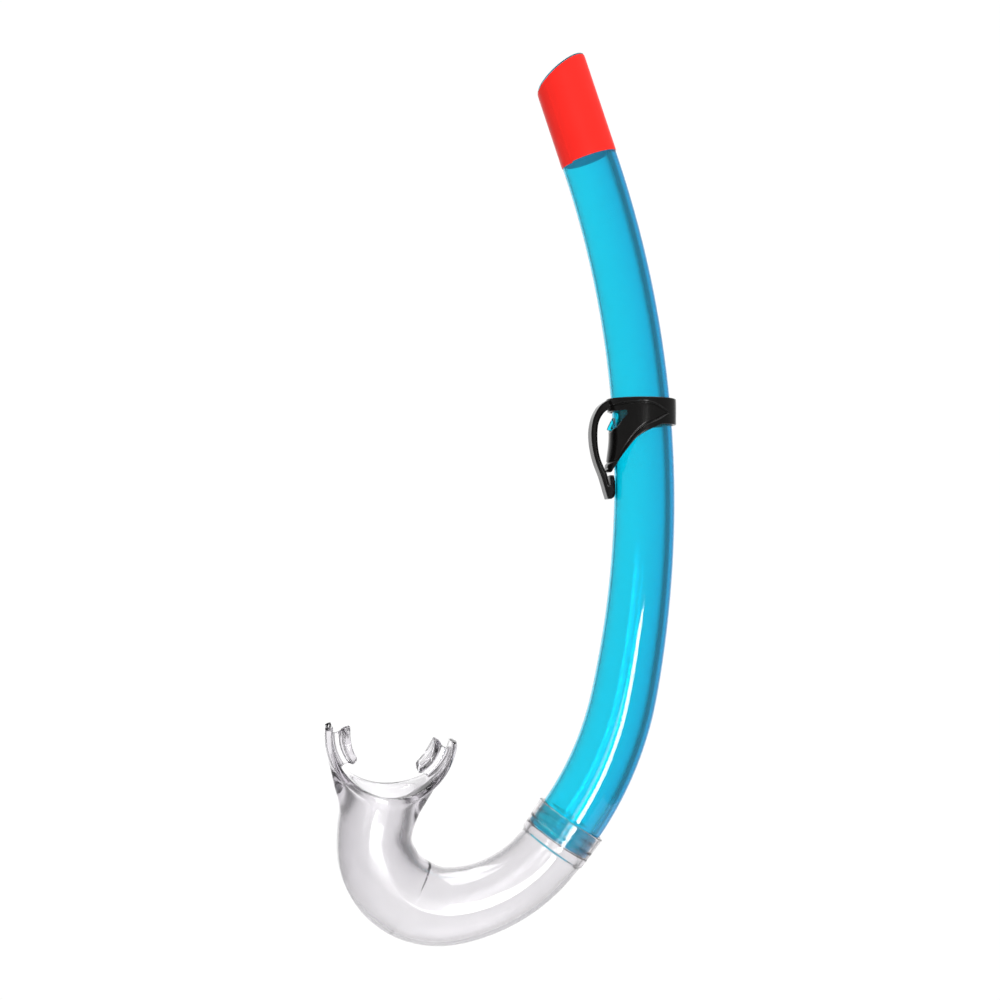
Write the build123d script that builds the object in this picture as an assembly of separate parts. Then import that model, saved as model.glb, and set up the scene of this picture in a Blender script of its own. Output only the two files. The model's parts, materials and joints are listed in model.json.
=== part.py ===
from build123d import *
from math import cos, radians, sin
import os

# Snorkel tube, millimetres, +Z up.
# The barrel bends in one upright plane. Every piece is first made round the joint centre, the middle of the
# socket's mouth, and at the end the whole snorkel is moved so that the centre of the bite is the origin.

# Solids that are joined or cut run this far past each other.
OVERLAP = 1.0

# Centre line, from the joint centre upwards (barrel) and downwards (mouthpiece).
# Each run is (length, radius): 0 is straight, a plus turns left and a minus turns right.
BARREL_HEADING = 55.5
TOP_RUN = 50.2
BARREL_RUNS = [(60.7, 150.7), (240.9, 462.0), (TOP_RUN, 0)]
MOUTH_HEADING = BARREL_HEADING + 180
MOUTH_RUNS = [(14.1, 0), (55.0, -61.2), (59.9, -33.1), (33.4, 0)]
MOUTH_LENGTH = sum(length for length, radius in MOUTH_RUNS)
SWIVEL_SHOWN = 14.0

# Barrel: (distance from the joint, outer diameter), wall, lug and spigot.
BARREL_TAPER = [(0, 30.0), (50, 29.7), (110, 28.15), (200, 26.4), (250, 25.7), (300, 25.3), (352, 25.2)]
BARREL_LENGTH = sum(length for length, radius in BARREL_RUNS)
SECTION_STEP = 22.0
WALL_INSIDE_CURVE = 1.6
WALL_OUTSIDE_CURVE = 3.4
BEVEL_ANGLE = 22.8
BEVEL_CREST_INSET = 1.2
SPIGOT_LENGTH = 11.2
SPIGOT_RADIUS = 14.6
RIB_HEIGHT = 0.9
RIB_WIDTH = 1.8
RIB_PLACES = [-4.2, -9.0]
RIB_CHAMFER = 0.5
LUG_DISTANCE = 181.3
LUG_LENGTH = 5.6
LUG_HEIGHT = 2.7
LUG_WIDTH = 3.4
LUG_FOOT = 0.8
LUG_CREST = 0.1
LUG_SUNK = 1.0

# Hi-vis band.
BAND_THICKNESS = 0.3
BAND_START = 305.0
BAND_RIM_GAP = 0.6

# Mouthpiece: socket sleeve, bend sections (distance, width in the bend's plane, depth), bore walls.
RUNNING_FIT = 0.08
RIB_PLAY = 0.2
SOCKET_DEPTH = 11.6
SLEEVE_LENGTH = 15.4
SLEEVE_RADIUS_LIP = 16.9
SLEEVE_RADIUS_END = 16.3
LIP_ROUND = 0.6
BEND_SECTIONS = [(15.0, 30.8, 30.8), (25, 31.0, 30.7), (35, 31.4, 30.6), (55, 33.0, 30.2), (73, 35.4, 29.6),
                 (90.2, 36.8, 29.0), (110, 35.2, 28.6), (125, 32.8, 28.4), (132, 33.6, 28.4),
                 (138, 36.8, 28.6), (144, 42.0, 29.0), (151, 47.8, 29.2), (157, 52.8, 29.0),
                 (163, 56.4, 28.4)]
CORE_SEAM = 90.2
WALL = 2.0
NECK_SHIFT = 0.9
NECK_STRAIGHT = 130.0
NECK_EASE = 30.0
BORE_AT_SOCKET = 26.6
NECK_BORE_SECTIONS = [(90.2, 30.6, 24.8), (110, 29.0, 24.4), (125, 26.8, 24.2), (138, 27.6, 24.2),
                      (152, 29.5, 24.6)]

# Flange and bite, in the mouth's own frame: X across the mouth, Y up and down it, Z into the mouth.
ARCH_HALF_WIDTH = 27.3
ARCH_DEPTH = 26.5
ARCH_TOP = 8.5
FLANGE_THICKNESS = 1.9
FLANGE_HALF_HEIGHT = 14.5
FLANGE_TIP_ROUND = 6.0
FLANGE_OVERHANG = 3.5
REACH = 80.0
LUG_ARCH_HALF_WIDTH = 20.3
LUG_ARCH_DEPTH = 19.6
BITE_THICKNESS = 3.2
BITE_CENTRE = (17.3, 0.6)
BITE_SLOPE = 67.6
BITE_LENGTH = 17.5
BITE_HEIGHT = 13.0
DIMPLE_DEPTH = 0.8
DIMPLE_LENGTH = 12.5
DIMPLE_HEIGHT = 8.0
BRIDGE_THICKNESS = 2.4
BRIDGE_LENGTH = 15.4
BRIDGE_SUNK = 0.5
PAD_REACH = 8.0

# Keeper, in its own frame: origin on the barrel's centre line, X away from the mask, Z up.
KEEPER_DISTANCE = 188.0
KEEPER_TILT = 2.9
KEEPER_SHOWN = 10.0
COLLAR_INNER_RADIUS = 14.0
COLLAR_OUTER_RADIUS = 15.75
COLLAR_TOP = (7.0, 5.9)
COLLAR_BOTTOM = -5.7
COLLAR_TAPER = 0.4
JAW_FLARE_START = -9.0
JAW_FLARE = 0.9
JAW_MIDDLE = -18.0
JAW_TIP_WIDTH = 1.5
LEAF_BACK = -22.0
LEAF_FRONT = 18.0
JAW_TIP = (-15.9, -26.4)
JAW_EDGE = [(5.6, -5.8), (0.3, -8.0), (-5.1, -11.0), (-8.7, -14.9), (-12.1, -19.5), (-14.7, -24.0)]
WINDOW = [(-20.0, 0.9), (-9.0, 0.9), (-9.3, -1.0), (-11.2, -3.4), (-12.7, -8.3), (-20.0, -8.3)]
ARM_WIDTH = 7.5
ARM_ROOT = (-16.4, 3.3)
ARM_ROOT_HEIGHT = 3.4
ARM_GAP = 0.1
ARM_ROOT_LEANS = ((-1, -0.3), (1, 0.6))
ARM_BACK_LEAN = (0.3, -1)
ARM_FRONT_LEAN = (-0.35, 1)
STUB_INSET = 0.3
ARM_BACK = [(-21.9, -1.3), (-23.2, -8.1), (-22.9, -14.9), (-21.6, -21.6), (-19.1, -28.4), (-17.0, -35.8)]
ARM_FRONT = [(-17.0, -26.4), (-19.75, -20.2), (-21.2, -14.9), (-21.5, -8.8), (-21.2, -4.7), (-19.2, -1.3)]
HOOK = [(-16.2, -37.6), (-14.9, -37.6), (-13.7, -35.2), (-13.7, -30.4), (-14.3, -27.6), (-15.6, -27.6),
        (-15.4, -31.6), (-16.3, -31.6)]


def along(runs, heading, distance):
    """Plane square to the centre line, its X to the right of the way up or down the line."""
    x, z, turn = 0.0, 0.0, radians(heading)
    if distance < 0:
        x, z, distance = distance * cos(turn), distance * sin(turn), 0
    for length, radius in runs:
        step = min(distance, length)
        if radius:
            swept = turn + step / radius
            x += radius * (sin(swept) - sin(turn))
            z -= radius * (cos(swept) - cos(turn))
            turn = swept
        else:
            x += step * cos(turn)
            z += step * sin(turn)
        distance -= step
    x += distance * cos(turn)
    z += distance * sin(turn)
    return Plane(origin=(x, 0, z), x_dir=(sin(turn), 0, -cos(turn)), z_dir=(cos(turn), 0, sin(turn)))


def on_barrel(distance):
    return along(BARREL_RUNS, BARREL_HEADING, distance)


def on_mouth(distance):
    return along(MOUTH_RUNS, MOUTH_HEADING, distance)


def between(table, distance):
    """Value read from a table of (distance, value, ...) rows, straight between its rows."""
    for low, high in zip(table, table[1:]):
        if distance <= high[0]:
            break
    share = max(0.0, min(1.0, (distance - low[0]) / (high[0] - low[0])))
    return [a + share * (b - a) for a, b in zip(low[1:], high[1:])]


def barrel_radius(distance):
    return between(BARREL_TAPER, distance)[0] / 2


def steps(start, end, step):
    """Evenly spaced distances from start to end, about a step apart."""
    count = max(2, round((end - start) / step))
    return [start + (end - start) * i / count for i in range(count + 1)]


def barrel_outside(extra):
    """Closed solid of the barrel's outside, grown by extra."""
    rings = []
    for distance in steps(0, BARREL_LENGTH + OVERLAP, SECTION_STEP):
        rings.append(on_barrel(distance) * Circle(barrel_radius(distance) + extra))
    return loft(rings)


def barrel_bore():
    """The bore lies nearer the inside of the curve, where the wall is thinner."""
    shrink = (WALL_INSIDE_CURVE + WALL_OUTSIDE_CURVE) / 2
    offset = (WALL_INSIDE_CURVE - WALL_OUTSIDE_CURVE) / 2
    rings = []
    for distance in steps(-SPIGOT_LENGTH - OVERLAP, BARREL_LENGTH + 2 * OVERLAP, SECTION_STEP):
        rings.append(on_barrel(distance) * Pos(offset, 0) * Circle(barrel_radius(distance) - shrink))
    return loft(rings)


def above_bevel(drop):
    """Block that takes off the slanted top, lowered by drop."""
    radius = barrel_radius(BARREL_LENGTH)
    crest = on_barrel(BARREL_LENGTH - drop) * Pos(radius - BEVEL_CREST_INSET, 0, 0)
    slope = crest * Rot(0, -BEVEL_ANGLE, 0)
    width, height = 3 * radius, 4 * radius
    block = Box(2 * width, 2 * width, height)
    return slope * Pos(-width / 2, 0, height / 2) * block


def lock_lug():
    """Wedge on the barrel: thin at its top, square underneath, so that the keeper clicks over it downwards."""
    foot = on_barrel(LUG_DISTANCE)
    radius = barrel_radius(LUG_DISTANCE)
    side = Plane(origin=foot.origin, x_dir=-foot.x_dir, z_dir=(0, 1, 0))
    root = radius - LUG_SUNK
    face = radius + LUG_HEIGHT
    outline = [(root, 0), (face, 0), (face, LUG_FOOT), (radius + LUG_CREST, LUG_LENGTH), (root, LUG_LENGTH)]
    return extrude(side * make_face(Polyline(*outline, close=True)), LUG_WIDTH / 2, both=True)


def barrel():
    body = barrel_outside(0)
    spigot_middle = on_barrel((OVERLAP - SPIGOT_LENGTH) / 2)
    body += spigot_middle.location * Cylinder(SPIGOT_RADIUS, SPIGOT_LENGTH + OVERLAP)
    for place in RIB_PLACES:
        rib = Cylinder(SPIGOT_RADIUS + RIB_HEIGHT, RIB_WIDTH)
        rib = chamfer(rib.edges().filter_by(GeomType.CIRCLE).sort_by(Axis.Z)[0], RIB_CHAMFER)
        body += on_barrel(place).location * rib
    body += lock_lug()
    body -= barrel_bore()
    return body - above_bevel(0)


def hi_vis_band():
    """Thin sleeve on the top of the barrel, cut square below and along the bevel above."""
    band = barrel_outside(BAND_THICKNESS) - barrel_outside(0)
    below = on_barrel(BAND_START).location * Pos(0, 0, -BARREL_LENGTH / 2) * Box(BARREL_LENGTH, BARREL_LENGTH, BARREL_LENGTH)
    return band - below - above_bevel(BAND_RIM_GAP)


def ellipse_loft(sections, shift):
    """Loft of ovals (distance, width, depth), each moved across by shift(distance)."""
    ovals = []
    for distance, width, depth in sections:
        ovals.append(on_mouth(distance) * Pos(shift(distance), 0) * Ellipse(width / 2, depth / 2))
    return loft(ovals)


def arch(extra, half_height):
    """Solid cylinder of the dental arch's half oval, grown by extra, in the mouth's frame."""
    oval = Ellipse(ARCH_HALF_WIDTH + extra, ARCH_DEPTH + extra)
    return Pos(0, 0, ARCH_TOP) * Rot(90, 0, 0) * extrude(oval, half_height, both=True)


def flange():
    """Curved plate between lips and gums, oval seen from the mouth, with rounded tips."""
    plate = arch(FLANGE_THICKNESS, FLANGE_HALF_HEIGHT + OVERLAP) - arch(0, REACH)
    front = extrude(Ellipse(ARCH_HALF_WIDTH + FLANGE_OVERHANG, FLANGE_HALF_HEIGHT), REACH, both=True)
    side_outline = RectangleRounded(REACH, 2 * FLANGE_HALF_HEIGHT + OVERLAP, FLANGE_TIP_ROUND)
    side = Pos(0, 0, ARCH_TOP - REACH / 2) * Rot(0, 90, 0) * extrude(side_outline, REACH, both=True)
    return plate & front & side


def lug_arch(extra, half_height):
    oval = Ellipse(LUG_ARCH_HALF_WIDTH + extra, LUG_ARCH_DEPTH + extra)
    return Pos(0, 0, ARCH_TOP) * Rot(90, 0, 0) * extrude(oval, half_height, both=True)


def bite_lug(side):
    """Oval pad held between the teeth, with a shallow dimple, on a bridge from the flange."""
    across = Pos(BITE_CENTRE[0], 0, BITE_CENTRE[1]) * Rot(0, 90 - BITE_SLOPE, 0)
    turned = across * Rot(0, 90, 0)
    inner_face = -BITE_THICKNESS / 2
    pad = lug_arch(BITE_THICKNESS / 2, BITE_HEIGHT) - lug_arch(inner_face, REACH)
    pad &= turned * extrude(Ellipse(BITE_LENGTH / 2, BITE_HEIGHT / 2), PAD_REACH, both=True)
    dimple = turned * extrude(Ellipse(DIMPLE_LENGTH / 2, DIMPLE_HEIGHT / 2), PAD_REACH, both=True)
    pad -= lug_arch(inner_face + DIMPLE_DEPTH, BITE_HEIGHT) & dimple
    bridge = arch(BRIDGE_SUNK, BRIDGE_THICKNESS / 2) - lug_arch(0, BITE_HEIGHT)
    bridge &= across * Pos(PAD_REACH, 0, 0) * Box(3 * PAD_REACH, BITE_HEIGHT, BRIDGE_LENGTH)
    whole = pad + bridge
    return whole if side > 0 else mirror(whole, Plane.YZ)


def socket():
    """Sleeve that takes the spigot, with a groove for each of its ribs."""
    start = on_mouth(0)
    outline = [(0, 0), (SLEEVE_RADIUS_LIP, 0), (SLEEVE_RADIUS_END, SLEEVE_LENGTH), (0, SLEEVE_LENGTH)]
    sleeve = revolve(Plane.XZ * make_face(Polyline(*outline, close=True)), Axis.Z)
    sleeve = fillet(sleeve.edges().filter_by(GeomType.CIRCLE), LIP_ROUND)
    return start.location * sleeve


def socket_cavity():
    start = on_mouth(0)
    depth = SOCKET_DEPTH + OVERLAP
    cavity = Pos(0, 0, depth / 2 - OVERLAP) * Cylinder(SPIGOT_RADIUS + RUNNING_FIT, depth)
    for place in RIB_PLACES:
        groove = Cylinder(SPIGOT_RADIUS + RIB_HEIGHT + RUNNING_FIT, RIB_WIDTH + 2 * RIB_PLAY)
        cavity += Pos(0, 0, -place) * groove
    return start.location * cavity


def middle(distance):
    """Shift of a bore that runs along the centre line."""
    return 0.0


def nearer_outside(distance):
    """Shift of the core that comes out through the mouth: it runs nearer the outside of the bend."""
    share = max(0.0, min(1.0, (NECK_STRAIGHT - distance) / NECK_EASE))
    return -share * NECK_SHIFT


def mouthpiece():
    body = ellipse_loft(BEND_SECTIONS, middle)
    mouth = on_mouth(MOUTH_LENGTH)
    body -= mouth.location * arch(0, REACH)
    body += socket()
    body += mouth.location * flange()
    for side in (-1, 1):
        body += mouth.location * bite_lug(side)
    first = [(d, w - 2 * WALL, t - 2 * WALL) for d, w, t in BEND_SECTIONS if d <= CORE_SEAM]
    body -= ellipse_loft([(SOCKET_DEPTH - OVERLAP / 2, BORE_AT_SOCKET, BORE_AT_SOCKET)] + first, middle)
    body -= ellipse_loft(NECK_BORE_SECTIONS, nearer_outside)
    body -= socket_cavity()
    return body


def keeper_place():
    """The keeper's own frame: on the barrel's centre line, leaning a little less than the barrel does."""
    return on_barrel(KEEPER_DISTANCE).location * Rot(0, 0, KEEPER_SHOWN) * Rot(0, KEEPER_TILT, 0)


def keeper_wall(bottom):
    """Wall of the collar and jaw, straight at the collar and flaring out towards the jaw's tip."""
    inner, outer = COLLAR_INNER_RADIUS, COLLAR_OUTER_RADIUS
    waist = outer - COLLAR_TAPER
    top = COLLAR_TOP[0] + 3 * OVERLAP
    with BuildSketch(Plane.XZ) as section:
        with BuildLine():
            Line((inner, top), (outer, top))
            Line((outer, top), (waist, JAW_FLARE_START))
            Spline((waist, JAW_FLARE_START), (outer, JAW_MIDDLE), (outer + JAW_FLARE, bottom))
            Line((outer + JAW_FLARE, bottom), (inner + JAW_FLARE, bottom))
            Spline((inner + JAW_FLARE, bottom), (inner + JAW_FLARE / 2, JAW_MIDDLE), (inner, JAW_FLARE_START))
            Line((inner, JAW_FLARE_START), (inner, top))
        make_face()
    return revolve(section.sketch, Axis.Z)


def keeper_collar():
    """Collar, jaw and the stub that carries the arm."""
    wall = keeper_wall(JAW_TIP[1] - 2 * OVERLAP)
    side = Plane(origin=(0, 0, 0), x_dir=(1, 0, 0), z_dir=(0, -1, 0))
    with BuildSketch(side) as leaf:
        with BuildLine():
            Line((LEAF_BACK, COLLAR_TOP[0]), (LEAF_FRONT, COLLAR_TOP[1]))
            Line((LEAF_FRONT, COLLAR_TOP[1]), (LEAF_FRONT, COLLAR_BOTTOM))
            Line((LEAF_FRONT, COLLAR_BOTTOM), JAW_EDGE[0])
            Spline(*JAW_EDGE, JAW_TIP)
            Line(JAW_TIP, (LEAF_BACK, JAW_TIP[1] + JAW_TIP_WIDTH))
            Line((LEAF_BACK, JAW_TIP[1] + JAW_TIP_WIDTH), (LEAF_BACK, COLLAR_TOP[0]))
        make_face()
    body = wall & extrude(leaf.sketch, REACH, both=True)
    body -= extrude(side * make_face(Polyline(*WINDOW, close=True)), REACH, both=True)
    stub_length = -ARM_ROOT[0] - COLLAR_INNER_RADIUS - STUB_INSET
    stub = Pos(ARM_ROOT[0] + stub_length / 2, 0, ARM_ROOT[1]) * Box(stub_length, ARM_WIDTH, ARM_ROOT_HEIGHT)
    return body + stub


def keeper_arm():
    """Springy arm that closes the strap slot, with a hook at its end."""
    side = Plane(origin=(0, 0, 0), x_dir=(1, 0, 0), z_dir=(0, -1, 0))
    root_x = ARM_ROOT[0] - ARM_GAP
    top = ARM_ROOT[1] + ARM_ROOT_HEIGHT / 2
    foot = ARM_ROOT[1] - ARM_ROOT_HEIGHT / 2
    with BuildSketch(side) as outline:
        with BuildLine():
            Line((root_x, foot), (root_x, top))
            Spline((root_x, top), *ARM_BACK, tangents=(ARM_ROOT_LEANS[0], ARM_BACK_LEAN))
            Polyline(ARM_BACK[-1], *HOOK, ARM_FRONT[0])
            Spline(*ARM_FRONT, (root_x, foot), tangents=(ARM_FRONT_LEAN, ARM_ROOT_LEANS[1]))
        make_face()
    return extrude(outline.sketch, ARM_WIDTH / 2, both=True)


def bite_centre():
    """Centre of the bite once the mouthpiece has been turned round the socket's axis."""
    return (swivel() * Pos(*on_mouth(MOUTH_LENGTH).origin)).position


def swivel():
    """Turn of the mouthpiece round the barrel's axis at the joint."""
    axis = on_barrel(0)
    return axis.location * Rot(0, 0, SWIVEL_SHOWN) * axis.location.inverse()


def main():
    os.makedirs("parts", exist_ok=True)
    home = Pos(*(-bite_centre()))
    pieces = {
        "barrel": barrel(),
        "hi_vis_band": hi_vis_band(),
        "mouthpiece": swivel() * mouthpiece(),
        "keeper_collar": keeper_place() * keeper_collar(),
        "keeper_arm": keeper_place() * keeper_arm(),
    }
    for name, piece in pieces.items():
        export_step(home * piece, f"parts/{name}.step")
    print("joint centre", home.position, "swivel axis", on_barrel(0).z_dir)
    keeper = Plane(home * keeper_place())
    print("keeper centre", keeper.origin, "keeper axis", keeper.z_dir)
    root = Plane(home * keeper_place() * Pos(ARM_ROOT[0] - ARM_GAP / 2, 0, ARM_ROOT[1] + ARM_ROOT_HEIGHT / 2))
    print("arm root", root.origin, "arm flex axis", root.y_dir)


main()
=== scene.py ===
import json
from math import cos, pi, radians, sin, tan

import bpy
import numpy as np
from mathutils import Matrix, Vector


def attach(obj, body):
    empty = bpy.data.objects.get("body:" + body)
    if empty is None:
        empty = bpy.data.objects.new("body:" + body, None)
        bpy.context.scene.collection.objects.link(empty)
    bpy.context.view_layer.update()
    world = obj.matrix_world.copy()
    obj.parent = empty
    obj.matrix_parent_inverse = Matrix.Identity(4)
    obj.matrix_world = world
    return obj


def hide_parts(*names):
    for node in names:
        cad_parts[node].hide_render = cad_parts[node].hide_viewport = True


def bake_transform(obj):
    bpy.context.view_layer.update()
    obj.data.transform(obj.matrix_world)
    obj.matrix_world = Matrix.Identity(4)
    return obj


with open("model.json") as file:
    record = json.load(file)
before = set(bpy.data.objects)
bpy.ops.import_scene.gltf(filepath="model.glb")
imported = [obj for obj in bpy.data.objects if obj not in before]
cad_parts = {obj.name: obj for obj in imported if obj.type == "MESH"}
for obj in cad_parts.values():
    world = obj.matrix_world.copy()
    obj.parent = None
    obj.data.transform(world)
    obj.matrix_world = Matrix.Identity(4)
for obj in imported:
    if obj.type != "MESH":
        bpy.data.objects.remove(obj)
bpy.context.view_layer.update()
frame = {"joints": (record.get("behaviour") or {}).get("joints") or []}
JOINTS = {joint["name"]: joint for joint in frame["joints"]}
MM = 0.001
STEP_SCALE = 1.0
# Edges are shown sharp from this angle between faces, in degrees.
SHARP_FROM, NO_SHARP_EDGES = 40, 180

# Centre line, millimetres from the joint centre: (length, radius), 0 straight, plus turns left, minus right.
BARREL_HEADING = 55.5
BARREL_RUNS = [(60.7, 150.7), (240.9, 462.0), (50.2, 0)]
BARREL_LENGTH = 351.8
MOUTH_HEADING = BARREL_HEADING + 180
MOUTH_RUNS = [(14.1, 0), (55.0, -61.2), (59.9, -33.1), (33.4, 0)]
MOUTH_LENGTH = 162.4
SWIVEL_SHOWN = 14.0

# Barrel and spigot. The taper's rows are (distance up the barrel, outside diameter).
RING_POINTS = 144
RING_STEP = 1.5
EDGE_ROUND, FOOT_ROUND, CHAMFER = 0.25, 0.08, 0.3
BARREL_TAPER = [(0, 30.0), (50, 29.7), (110, 28.15), (200, 26.4), (250, 25.7), (300, 25.3), (352, 25.2)]
WALL_MEAN = 2.5
BORE_OFFSET = -0.9
# The bevel's slope, its turn about the barrel, its drop at the middle, and the length that leans into it.
BEVEL = tan(radians(22.6))
BEVEL_TURN = radians(28)
BEVEL_DROP = 6.4
BEVEL_REACH = 26.0
SPIGOT_RADIUS = 14.6
SPIGOT_LENGTH = 11.2
# Raised rings on the spigot: (start, end, radius), distances down from the barrel's foot.
SPIGOT_RINGS = [(3.6, 4.8, 15.0), (7.9, 10.9, 15.45)]
RING_FLANK = 0.15
RING_SHOULDER = 0.12

# Band: one film thick, and two at the lap, which fades out round the tube and steps down at the foot.
BAND_START = 305.0
BAND_POINTS = 240
BAND_STEP = 1.2
BAND_DROP = 0.8
BAND_GAP = 0.02
BAND_SINGLE, BAND_LAPPED = 0.2, 0.35
BAND_EDGE, BAND_EDGE_ROUND = 0.5, 0.06
SEAM_ANGLE = -131.0
LAP_FADE = 70
LAP_STEP = 0.55

# Mouthpiece: its outside, then its bore, left by two cores that meet at the core seam with a little flash.
# Rows are (distance from the joint, width, height).
BEND_SECTIONS = [(12.0, 30.8, 30.8), (25, 31.0, 30.7), (35, 31.4, 30.6), (55, 33.0, 30.2), (73, 35.4, 29.6),
                 (90.2, 36.8, 29.0), (110, 35.2, 28.6), (125, 32.8, 28.4), (132, 33.6, 28.4),
                 (138, 36.8, 28.6), (144, 42.0, 29.0), (151, 47.8, 29.2), (157, 52.8, 29.0),
                 (163, 56.4, 28.4), (175, 58.0, 26.0)]
NECK_BORE = [(90.2, 30.2, 24.1), (110, 29.0, 24.0), (125, 26.8, 24.2), (138, 27.6, 24.2),
             (152, 29.5, 24.6), (175, 30.0, 24.8)]
# The neck's bore lies off the middle at the seam and comes back to it further on.
NECK_BORE_SHIFT, SHIFT_END, SHIFT_FADE = -0.9, 130.0, 30.0
CORE_SEAM = 90.2
FLASH_HEIGHT, FLASH_WIDTH = 0.45, 0.8
WALL = 2.0
# How much the neck is squared off, and the distances over which that comes and goes.
NECK_SQUARING = 0.7
SQUARING_START, SQUARING_RAMP = 92, 22
SQUARING_END, SQUARING_FADE = 146, 16
# Socket: bore for the spigot with a wider groove (start, radius), and the tapered sleeve round it.
SOCKET_DEPTH = 11.6
SOCKET_RADIUS = 15.15
SOCKET_GROOVE = (7.5, 15.6)
SOCKET_THROAT = 13.2
THROAT_LENGTH = 8.0
SOCKET_LAP, SLEEVE_LAP = 1, 4
SLEEVE_LENGTH = 15.4
SLEEVE_RADIUS, SLEEVE_TAPER = 16.9, 0.8
# Flange and lugs follow two oval arches about one centre, and are worked out only within their reach of it.
ARCH_HALF_WIDTH, ARCH_DEPTH, ARCH_TOP = 27.3, 26.5, 8.5
MOUTH_REACH, MOUTH_SIDE = 60, 45
FAR_OFF = 20.0
LUG_REACH = 25
# The neck is cut to the flange's outline, less and less from the trim's start to its end.
TRIM_START, TRIM_END = 20, 32
TRIM_GAP, TRIM_EASE = 0.2, 3
FLANGE_THICKNESS = 1.9
FLANGE_HALF_HEIGHT = 14.5
FLANGE_OVERHANG = 3.5
FLANGE_RIM, RIM_WIDTH, RIM_INNER_SHARE = 0.35, 2.2, 0.4
LUG_HALF_WIDTH, LUG_DEPTH = 20.3, 19.6
# Bite lugs: thickness, centre, slope and outline of the pads, the dimple in each and the bridge it sits on.
BITE_THICKNESS = 3.2
BITE_CENTRE = (17.3, 0.6)
BITE_SLOPE = radians(67.6)
BITE_OVAL = (8.75, 6.5)
DIMPLE_OVAL, DIMPLE_SLOPE, DIMPLE_DEPTH, DIMPLE_SHIFT = (6.2, 3.9), 1.3, 0.9, 0.5
BRIDGE_HALF_THICKNESS, BRIDGE_HALF_LENGTH, BRIDGE_ROOT = 1.2, 7.4, 0.5
# Roundings, millimetres: corners and edges first, then the fillets at the roots of flange, lugs and sleeve.
SHARP, CRISP, MOUTH_EDGE, EDGE = 0.15, 0.3, 0.35, 0.8
PAD_EDGE, PAD_RIM, BRIDGE_EDGE, SLEEVE_EDGE, FLANGE_EDGE, FLANGE_TIP = 0.9, 1.3, 1.0, 0.9, 1.0, 4.0
FLANGE_FILLET, LUG_FILLET, SLEEVE_FILLET = 2.4, 2.2, 1.2

# Keeper: its place up the barrel and how it is turned there, then the collar, the jaw's flare and the arm.
KEEPER_DISTANCE = 188.0
KEEPER_TILT = 2.9
KEEPER_SHOWN = 10.0
COLLAR_INNER, COLLAR_OUTER = 14.0, 15.75
COLLAR_THINNING = 0.3
JAW_START, JAW_REACH, JAW_FLARE_INNER, JAW_FLARE_OUTER = -9.0, 19.0, 1.4, 2.0
THINNING_START, THINNING_REACH = 5, 14.0
PANEL_SINK, PANEL_RAMP = 0.4, 0.9
PANEL_GROOVE, GROOVE_INSET, GROOVE_HALF_WIDTH = 0.4, 0.3, 0.7
TOOTH_PLACES, TOOTH_LINE, TOOTH_RADIUS = (-20.6, -21.9, -23.2, -24.5), -17.4, 0.55
COLLAR_EDGE, LEAF_EDGE, WINDOW_EDGE, TOOTH_EDGE = 0.45, 0.6, 0.4, 0.2
ARM_HALF_WIDTH = 3.75
ARM_SINK, ARM_RIM = 0.6, 2.9
ARM_EDGE, ARM_SINK_EDGE = 0.5, 0.25
# Lock lug on the barrel: distance up the barrel, then length, height and width.
LUG_PLACE = 181.3
LUG_LENGTH, LUG_HEIGHT, LUG_WIDTH = 5.6, 2.7, 3.4
LUG_SLOPE, LUG_SLOPE_FOOT = 0.52, 0.8
LUG_ROOT = 0.3
LUG_EDGE, LUG_ROOT_EDGE = 0.5, 0.1

# Meshes from distance fields: the boxes they are sought in, the grids' steps, how points are evened out and
# put on the skin, and how the grid is filled.
MOUTHPIECE_BOX = ((-118, -17.5, -78), (20, 17.5, 46))
COLLAR_BOX = ((-18, -17.5, -28), (18, 17.5, 8.5))
ARM_BOX = ((-26, -5, -40), (-12, 5, 9))
MOUTHPIECE_STEP, COLLAR_STEP, SMALL_STEP = 0.45, 0.27, 0.22
RELAX_ROUNDS, RELAX_SHARE = 4, 0.55
SLOPE_REACH, LEAST_SLOPE, MOST_PUSH = 0.04, 0.2, 0.6
COARSE_SKIP, CLOSE_STEPS, BATCH = 4, 5.5, 400000

# Looks. Most values of a noise lie within its span. The rest is roughness added by place.
NOISE_SPAN = (0.3, 0.7)
BORE_DULL, CUT_DULL, BEND_BORE_DULL = 0.07, 0.45, 0.15
BEND_DULL_LENGTH, BORE_NEAR = 8.0, 0.4

# Studio, metres. Softboxes: name, degrees right of the camera's side, degrees up, width, height, brightness.
SOFTBOXES = [("front_softbox", 13, -11, 0.28, 0.66, 20), ("front_fill", -6, -9, 0.22, 0.5, 3.0)]
SOFTBOX_DISTANCE = 1.4
TOP_PANEL_PLACE, TOP_PANEL_SIZE, TOP_PANEL_GLOW = (0.1, 0.1, 1.5), 1.6, 5.0
LIT_MIDDLE = Vector((0.07, 0.01, -0.02))
# The room glows evenly, with a brighter backdrop behind the snorkel: from none to full over a span of Y.
ROOM_GLOW, BACKDROP_GLOW = 0.36, 0.92
BACKDROP_SPAN = (0.74, 0.92)
WHITE_SEEN = 1.02
FLOOR_HALF, FLOOR_HEIGHT = 1.5, -0.95
CAMERA_OFFSET = Vector((-0.03227, -0.9, 0.11858))
CAMERA_SENSOR, CAMERA_LENS, CAMERA_RISE, CAMERA_FAR = 36, 72, 0.055, 50


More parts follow.
